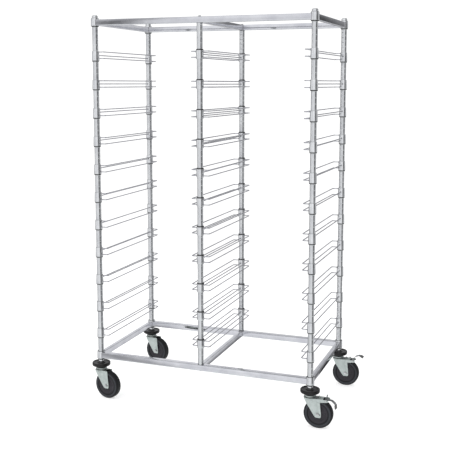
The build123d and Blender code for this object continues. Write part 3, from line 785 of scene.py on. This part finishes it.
def make_fork(caster):
    """Fork pressed from one sheet: a ribbed leg each side, rolled over into the crown."""
    half_rows = fork_rows(caster)
    rows = half_rows + [(-y, z, front, back) for y, z, front, back in reversed(half_rows[:-1])]
    columns = 30
    relief = 1.0  # how far the legs lie inside the fork's face, in mm; their ribs reach about to it
    leg_side = 20.4  # rows further out than this lie on a leg
    bm = bmesh.new()
    grid = []
    for y, z, front, back in rows:
        side = 1 if y > 0 else -1
        ring = []
        for k in range(columns + 1):
            a = front + (back - front) * k / columns
            out = rib_height(caster, a, z) - relief if abs(y) > leg_side else 0.0
            ring.append(bm.verts.new(Vector((a * MM, (y + side * out) * MM, z * MM))))
        grid.append(ring)
    bridge(bm, grid, closed_rings=False)
    for vert in bm.verts:
        vert.co = caster.place @ vert.co
    name = f"fork_{caster.name}"
    obj = piece(name, "pressed", bm, (ZINC, HOLE_SHADE), caster.swivel, sharp=60)
    skin = obj.modifiers.new("sheet", "SOLIDIFY")
    skin.thickness = FORK_SHEET - relief * MM
    skin.offset = -1.0
    edge = obj.modifiers.new("edge", "BEVEL")
    edge.width = 0.5 * MM
    edge.segments = 2
    edge.limit_method = "ANGLE"
    edge.angle_limit = radians(50)


def make_race(caster):
    """Lower ball race and dust ring on the crown, which turn with the fork."""
    ring = [(6.1, 128.5), (26.0, 128.5), (27.0, 129.4), (27.0, 131.6), (26.0, 132.4), (22.0, 132.8),
            (21.2, 133.6), (21.2, 136.2), (20.6, 136.7), (6.1, 136.7)]
    bm = bmesh.new()
    lathe(bm, in_metres(ring), caster.place, 48)
    name = f"fork_{caster.name}"
    piece(name, "race", bm, ZINC, caster.swivel)


def make_axle(caster):
    """Axle bolt head, lock nut with its thread end, bushing, and the second, unused axle hole of each leg."""
    face = FORK_FACE + FORK_SHEET
    bore, outside = 5.05 * MM, 8 * MM
    reach = 4.0  # height of the head and of the nut, in mm
    bm, hole_shade_discs = bmesh.new(), bmesh.new()
    bushing = [(bore, -FORK_FACE), (outside, -FORK_FACE), (outside, FORK_FACE), (bore, FORK_FACE)]
    lathe(bm, bushing, caster.axle, 32)
    # Each end: turn about the axle, how far the thread shows past the nut, place of the spare hole
    for turn, end, spare in ((0, 2.0, -1.0), (pi, 0.0, 1.0)):
        place = caster.axle @ Matrix.Rotation(turn, 4, "X")
        prism(bm, circle(7.4 * MM), face - 0.9 * MM, face + 0.6 * MM, place, 0.25 * MM)
        prism(bm, hexagon(7.0 * MM), face + 0.5 * MM, face + (reach - 0.2) * MM, place, 0.8 * MM)
        prism(bm, circle(4.6 * MM), 0, face + (reach + end - 0.1) * MM, place, 0.6 * MM)
        side = place @ Matrix.Translation((10.0 * MM, spare * MM, 0))
        deep, rim = face - 1.6 * MM, face - 0.5 * MM
        lathe(bm, [(2.3 * MM, deep), (3.6 * MM, deep), (3.4 * MM, rim), (2.4 * MM, rim)], side, 24)
        # Painted shade: a near-black disc inside the ring stands for the shaded inside of the spare hole.
        prism(hole_shade_discs, circle(2.5 * MM, 20), deep, face - 0.9 * MM, side, 0.1 * MM)
    name = f"axle_{caster.name}"
    metal = joined(bm, hole_shade_discs, 1)
    piece(name, "bolt", metal, (FASTENER, HOLE_SHADE), caster.swivel)


def make_wheel_core(caster):
    """Resin core with a hub boss, a dished web and six ribs on each side."""
    side = [(8.05, 17.0), (12.5, 17.0), (14.2, 16.4), (15.0, 14.6), (16.6, 12.4), (19.0, 11.6), (29.5, 11.0),
            (33.2, 11.6), (35.0, 13.4), (36.4, 14.0), (42.2, 14.0), (43.0, 13.4)]
    bm = bmesh.new()
    lathe(bm, in_metres(both_sides(side)), caster.axle, 72)
    ribs = 6
    outline = rectangle(15.5 * MM, 34.0 * MM, -1.3 * MM, 1.3 * MM, 0.4 * MM, 2)
    for turn in (0.0, pi):
        for k in range(ribs):
            angle = radians(360 / ribs * k)
            place = caster.axle @ Matrix.Rotation(turn, 4, "X") @ Matrix.Rotation(angle, 4, "Z")
            prism(bm, outline, 10.5 * MM, 12.3 * MM, place, 0.5 * MM)
    name = f"wheel_core_{caster.name}"
    piece(name, "moulded", bm, RESIN, caster.wheel)


def make_tyre(caster):
    """Tyre with a paler side band, a wear line and rounded shoulders."""
    half, tread, shoulder = 16.0, 63.5, 8.0
    side = [(43.05, 13.2), (43.6, 14.4), (45.0, 14.9), (48.5, 15.3), (51.5, 16.0), (54.0, 16.0),
            (54.8, 15.55), (55.8, 15.9)]
    steps = 8
    for k in range(1, steps + 1):
        angle = radians(90 - 90 * k / steps)
        height = half - shoulder + shoulder * sin(angle) * 0.985
        side.append((tread - shoulder + shoulder * cos(angle), height))
    outline = side + [(tread, 0.0)] + [(r, -z) for r, z in reversed(side)]
    bm = bmesh.new()
    lathe(bm, in_metres(outline), caster.axle, 96)
    inward = caster.axle.inverted()
    for face in bm.faces:
        radius = (inward @ face.calc_center_median()).xy.length / MM
        face.material_index = 0 if SIDE_BAND[0] < radius < SIDE_BAND[1] else 1
    name = f"tyre_{caster.name}"
    piece(name, "moulded", bm, (TYRE, TREAD), caster.wheel, sharp=70)


# ---------------------------------------------------------------- brakes


def pedal_line(caster):
    """Middle line of the foot plate in its pressed state, as the CAD has it, in the caster's own axes."""
    a, z = caster.pivot.x, caster.pivot.z
    corners = [(3.0, 0.0), (24.0, -1.0), (39.0, -14.0), (41.0, -34.0)]
    return rounded([(a + dx * MM, 0, z + dz * MM) for dx, dz in corners], 12.0 * MM, 8, closed=False)


def pedal_state(caster):
    """Turns the pressed pedal to the state that the CAD shows it in."""
    turn = -caster.travel if caster.raised else 0.0
    pivot = Matrix.Translation(caster.pivot)
    return caster.place @ pivot @ Matrix.Rotation(turn, 4, "Y") @ pivot.inverted()


def curved_sheet(bm, line, half_width, thickness, place, columns=10):
    """Sheet that follows a line in the XZ plane, with rounded side edges."""
    rows = []
    for i, point in enumerate(line):
        ahead = (line[min(i + 1, len(line) - 1)] - line[max(i - 1, 0)]).normalized()
        out = Vector((-ahead.z, 0, ahead.x))
        width = half_width(i / (len(line) - 1))
        front, back = [], []
        for k in range(columns + 1):
            share = 2 * k / columns - 1
            thin = thickness * sqrt(max(1 - abs(share) ** 6, 0.06)) / 2
            at = point + Vector((0, share * width, 0))
            front.append(at + out * thin)
            back.append(at - out * thin)
        rows.append([bm.verts.new(place @ p) for p in front + back[::-1]])
    bridge(bm, rows)
    bm.faces.new(reversed(rows[0]))
    bm.faces.new(rows[-1])


def resampled(line, count):
    """Even points along a line."""
    lengths = [0.0]
    for a, b in zip(line, line[1:]):
        lengths.append(lengths[-1] + (b - a).length)
    out = []
    for k in range(count):
        target = lengths[-1] * k / (count - 1)
        i = max(j for j in range(len(line) - 1) if lengths[j] <= target + 1e-12)
        span = lengths[i + 1] - lengths[i]
        out.append(line[i].lerp(line[i + 1], min(max((target - lengths[i]) / span, 0), 1)))
    return out


def make_brake(caster):
    """Foot plate with its pad, barrel, cam and release tab; pivot pin; cover plate with screw and nut."""
    state = pedal_state(caster)
    line = resampled(pedal_line(caster), 36)
    pivot = Matrix.Translation(caster.pivot) @ ACROSS
    make_pedal(caster, state, pivot, line)
    make_pad(caster, state, line)
    make_pin(caster, pivot)
    make_cover(caster)


def make_pedal(caster, state, pivot, line):
    """Foot plate, its barrel on the pin, the cam that faces the wheel, and the release tab."""
    bm = bmesh.new()
    curved_sheet(bm, line, lambda s: (11.9 - 1.6 * sin(pi * min(s * 1.6, 1.0))) * MM, 2.8 * MM, state)
    half = 12  # half the barrel's and the cam's length, in mm
    barrel = both_sides([(3.05, -half), (5.1, -half), (5.5, -11.6)])
    lathe(bm, in_metres(barrel), state @ pivot, 32)
    to_wheel = (Vector((caster.trail, 0, caster.axle_height)) - caster.pivot).normalized()
    cam = Matrix.Translation(caster.pivot + to_wheel * 4.8 * MM) @ ACROSS
    prism(bm, circle(3.3 * MM, 28), -half * MM, half * MM, state @ cam, 0.5 * MM)
    tab = [caster.pivot + Vector((4.0, 0, 22.0)) * MM * share for share in (0.2, 0.5, 0.72, 0.78, 0.97, 1.0)]
    sizes = (2.1, 2.0, 2.0, 2.45, 2.45, 1.6)
    last = len(sizes) - 1
    tube(bm, [state @ p for p in tab], lambda share: sizes[round(share * last)] * MM, 18)
    name = f"brake_pedal_{caster.name}"
    piece(name, "pressed", bm, PEDAL_STEEL, caster.pedal)


def make_pad(caster, state, line):
    """Moulded pad over the end of the foot plate, narrower towards its tip, with ribs across its front."""
    length = 16.0 * MM
    ribs = 4
    share = 1 - length / sum((b - a).length for a, b in zip(line, line[1:]))
    pad_line = [p for i, p in enumerate(line) if i / (len(line) - 1) >= share]

    def half_width(share):
        return (13.9 - 3.6 * max(0.0, share - 0.75)) * MM

    bm = bmesh.new()
    curved_sheet(bm, resampled(pad_line, 24), half_width, 6.6 * MM, state)
    for at in resampled(pad_line, 2 * ribs + 1)[1::2]:
        rib = [at + Vector((3.1 * MM, w * MM, 0)) for w in (-11.0, 0.0, 11.0)]
        tube(bm, [state @ p for p in rib], 0.55 * MM, 8)
    name = f"pedal_tip_{caster.name}"
    piece(name, "ribbed", bm, PAD, caster.pedal)


def make_pin(caster, pivot):
    """Pivot pin with a riveted head outside each leg."""
    bm = bmesh.new()
    outside = (FORK_FACE + FORK_SHEET) / MM
    end = -outside - 2
    head = [(AXIS, end), (3.6, end), (4.8, end + 0.9), (5.0, -outside), (3.0, -outside)]
    lathe(bm, in_metres(both_sides(head)), caster.place @ pivot, 32)
    name = f"brake_pin_{caster.name}"
    piece(name, "riveted", bm, FASTENER, caster.swivel)


def make_cover(caster):
    """Cover plate between the legs, with its adjusting screw and lock nut."""
    bm = bmesh.new()
    top = CROWN_TOP
    screw_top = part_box(f"brake_plate_{caster.name}")[1].z
    outline = rectangle(29.0 * MM, 60.0 * MM, -FORK_FACE, FORK_FACE, 2.5 * MM, 5)
    prism(bm, outline, top - 3.0 * MM, top, caster.place, 0.5 * MM)
    screw = caster.place @ Matrix.Translation((41.0 * MM, 0, top))
    prism(bm, circle(6.0 * MM), -0.1 * MM, 0.8 * MM, screw, 0.25 * MM)
    prism(bm, hexagon(5.8 * MM), 0.7 * MM, 4.0 * MM, screw, 0.6 * MM)
    prism(bm, circle(3.0 * MM), -3.0 * MM, screw_top - top, screw, 0.6 * MM)
    name = f"brake_plate_{caster.name}"
    piece(name, "pressed", bm, ZINC, caster.swivel)


# ---------------------------------------------------------------- build


for node in frame["record"]["behaviour"]["bodies"]["rack"]:
    if node.startswith("post_") and node != "post_caps":
        make_post(node)
make_sleeves()
make_caps()
make_slides()
make_frame("bottom_frame")
make_frame("top_frame")
make_middle_bolts()
make_stems()
make_bumpers()
for caster in CASTERS:
    make_fork(caster)
    make_race(caster)
    make_axle(caster)
    make_wheel_core(caster)
    make_tyre(caster)
    if caster.braked:
        make_brake(caster)
plugs = frame["nodes"]["middle_post_plugs"]
plugs.data.materials.clear()
plugs.data.materials.append(ZINC)


# ---------------------------------------------------------------- floor, light and camera


def make_floor():
    """Pale floor, hidden from mirror rays so that the metal mirrors the studio below it."""
    mesh = bpy.data.meshes.new("floor")
    half = 2.4
    corners = [(-half, -half, 0), (half, -half, 0), (half, half, 0), (-half, half, 0)]
    mesh.from_pydata(corners, [], [(0, 1, 2, 3)])
    floor = linked("floor", mesh)
    s = Shader("pale_floor", Roughness=0.8, Emission_Color=(1.0, 1.0, 1.0, 1.0), Emission_Strength=0.5)
    s.set("Base Color", s.ramp(s.noise(0.8), (0.3, 0.62), (0.7, 0.65)))
    mesh.materials.append(s.material)
    floor.visible_glossy = False


# The studio's fields as polished metal mirrors them, listed as (degrees from the front, brightness).
# A level ray, one that is tilted up or down, and one that goes up steeply each meet their own ring of fields.
LEVEL_FIELDS = ((-180, 0.38), (-163, 0.34), (-156, 0.62), (-149, 0.60), (-141, 0.22), (-120, 0.18),
                (-100, 0.55), (-80, 0.84), (-55, 1.0), (-31, 0.94), (-29.5, 0.5), (-28.4, 0.12), (-27, 0.12),
                (-26.2, 0.92), (18, 1.0), (44, 0.90), (56, 0.18), (90, 0.10), (108, 0.66), (132, 0.42),
                (146, 0.80), (155, 0.74), (160, 0.26), (163, 0.08), (166.6, 0.06), (167.6, 0.34), (180, 0.38))
TILTED_FIELDS = ((-180, 0.74), (-166, 0.64), (-156, 0.86), (-148, 0.80), (-138, 0.34), (-120, 0.30),
                 (-98, 0.56), (-76, 0.74), (-52, 0.98), (-31, 0.8), (-28.4, 0.44), (-26.4, 0.44), (-24, 1.0),
                 (20, 1.0), (44, 0.88), (58, 0.26), (92, 0.18), (110, 0.68), (132, 0.50), (148, 0.84),
                 (156, 0.78), (162, 0.22), (167, 0.20), (171, 0.68), (180, 0.74))
HIGH_FIELDS = ((-180, 0.14), (-164, 0.12), (-155, 0.52), (-146, 0.46), (-132, 0.20), (-90, 0.70), (-40, 0.96),
               (30, 0.96), (80, 0.40), (130, 0.24), (180, 0.14))
STUDIO_STRENGTH = 1.12


def make_light():
    """White studio for all light but mirror rays, which see its soft grey fields in upright bands."""
    world = bpy.data.worlds.new("studio")
    bpy.context.scene.world = world
    world.use_nodes = True
    nodes, links = world.node_tree.nodes, world.node_tree.links
    nodes.clear()

    def math(operation, *values):
        node = nodes.new("ShaderNodeMath")
        node.operation = operation
        for socket, value in zip(node.inputs, values):
            if isinstance(value, float):
                socket.default_value = value
            else:
                links.new(value, socket)
        return node.outputs[0]

    def bands(fac, stops):
        """Brightness by degrees from the front (-Y), positive to the right."""
        node = nodes.new("ShaderNodeValToRGB")
        elements = node.color_ramp.elements
        while len(elements) < len(stops):
            elements.new(0.5)
        for element, (place, value) in zip(elements, stops):
            element.position = (place + 180) / 360
            element.color = (value, value, value * 1.02, 1)
        links.new(fac, node.inputs["Fac"])
        return node.outputs["Color"]

    def between(value, low, high, one, two):
        span = nodes.new("ShaderNodeMapRange")
        span.inputs["From Min"].default_value = low
        span.inputs["From Max"].default_value = high
        links.new(value, span.inputs["Value"])
        node = nodes.new("ShaderNodeMix")
        node.data_type = "RGBA"
        links.new(span.outputs["Result"], node.inputs["Factor"])
        for socket, colour in (("A", one), ("B", two)):
            if isinstance(colour, tuple):
                node.inputs[socket].default_value = colour
            else:
                links.new(colour, node.inputs[socket])
        return node.outputs["Result"]

    coords = nodes.new("ShaderNodeTexCoord").outputs["Generated"]
    split = nodes.new("ShaderNodeSeparateXYZ")
    links.new(coords, split.inputs["Vector"])
    x, y, z = split.outputs
    turn = math("ARCTAN2", x, math("MULTIPLY", y, -1.0))
    turn = math("MULTIPLY_ADD", turn, 0.5 / pi, 0.5)
    level = bands(turn, LEVEL_FIELDS)
    tilted = bands(turn, TILTED_FIELDS)
    high = bands(turn, HIGH_FIELDS)
    rise = math("ABSOLUTE", z)
    sides = between(rise, 0.10, 0.18, level, tilted)
    ceiling = between(z, 0.40, 0.52, sides, high)
    top = between(z, 0.86, 0.95, ceiling, (0.94, 0.94, 0.97, 1))
    sky = between(z, -0.42, -0.56, top, (0.93, 0.96, 0.95, 1))
    grain = nodes.new("ShaderNodeTexNoise")
    grain.inputs["Scale"].default_value = 6.0
    grain.inputs["Detail"].default_value = 1.0
    links.new(coords, grain.inputs["Vector"])
    uneven = between(grain.outputs["Fac"], 0.35, 0.65, (0.92, 0.925, 0.94, 1), (1.02, 1.03, 1.04, 1))
    shade = nodes.new("ShaderNodeMix")
    shade.data_type = "RGBA"
    shade.blend_type = "MULTIPLY"
    shade.inputs["Factor"].default_value = 1.0
    links.new(sky, shade.inputs["A"])
    links.new(uneven, shade.inputs["B"])

    mirrored = nodes.new("ShaderNodeBackground")
    links.new(shade.outputs["Result"], mirrored.inputs["Color"])
    mirrored.inputs["Strength"].default_value = STUDIO_STRENGTH
    plain = nodes.new("ShaderNodeBackground")
    plain.inputs["Color"].default_value = (1, 1, 1, 1)
    plain.inputs["Strength"].default_value = STUDIO_STRENGTH
    path = nodes.new("ShaderNodeLightPath")
    choose = nodes.new("ShaderNodeMixShader")
    links.new(path.outputs["Is Glossy Ray"], choose.inputs["Fac"])
    links.new(plain.outputs["Background"], choose.inputs[1])
    links.new(mirrored.outputs["Background"], choose.inputs[2])
    output = nodes.new("ShaderNodeOutputWorld")
    links.new(choose.outputs["Shader"], output.inputs["Surface"])


def make_softbox(name, place, aim, size, power):
    """Area light that mirror rays don't see."""
    light = bpy.data.lights.new(name, "AREA")
    light.shape = "RECTANGLE"
    light.size, light.size_y = size
    light.energy = power
    obj = linked(name, light)
    obj.location = place
    obj.rotation_mode = "QUATERNION"
    obj.rotation_quaternion = (Vector(aim) - Vector(place)).to_track_quat("-Z", "Y")
    obj.visible_glossy = False


def make_camera():
    """Stands to the front right, a little above the second level from the top, and looks slightly down."""
    azimuth, pitch = radians(20.4), radians(-7.2)
    data = bpy.data.cameras.new("camera")
    camera = linked("camera", data)
    camera.location = (1.355, -3.608, 1.4556)
    ahead = Vector((-sin(azimuth) * cos(pitch), cos(azimuth) * cos(pitch), sin(pitch)))
    camera.rotation_mode = "QUATERNION"
    camera.rotation_quaternion = ahead.to_track_quat("-Z", "Y")
    data.sensor_width = 36.0
    data.lens = 66.8
    data.shift_y = -0.08
    data.dof.use_dof = False
    bpy.context.scene.camera = camera


make_floor()
make_light()
make_softbox("key", (-2.2, -2.6, 2.9), (0, 0, 0.9), (3.0, 2.6), 42.0)
make_softbox("fill", (3.0, -1.4, 2.2), (0, 0, 0.8), (1.2, 1.8), 8.0)
make_camera()
bpy.context.scene.view_settings.view_transform = "Standard"
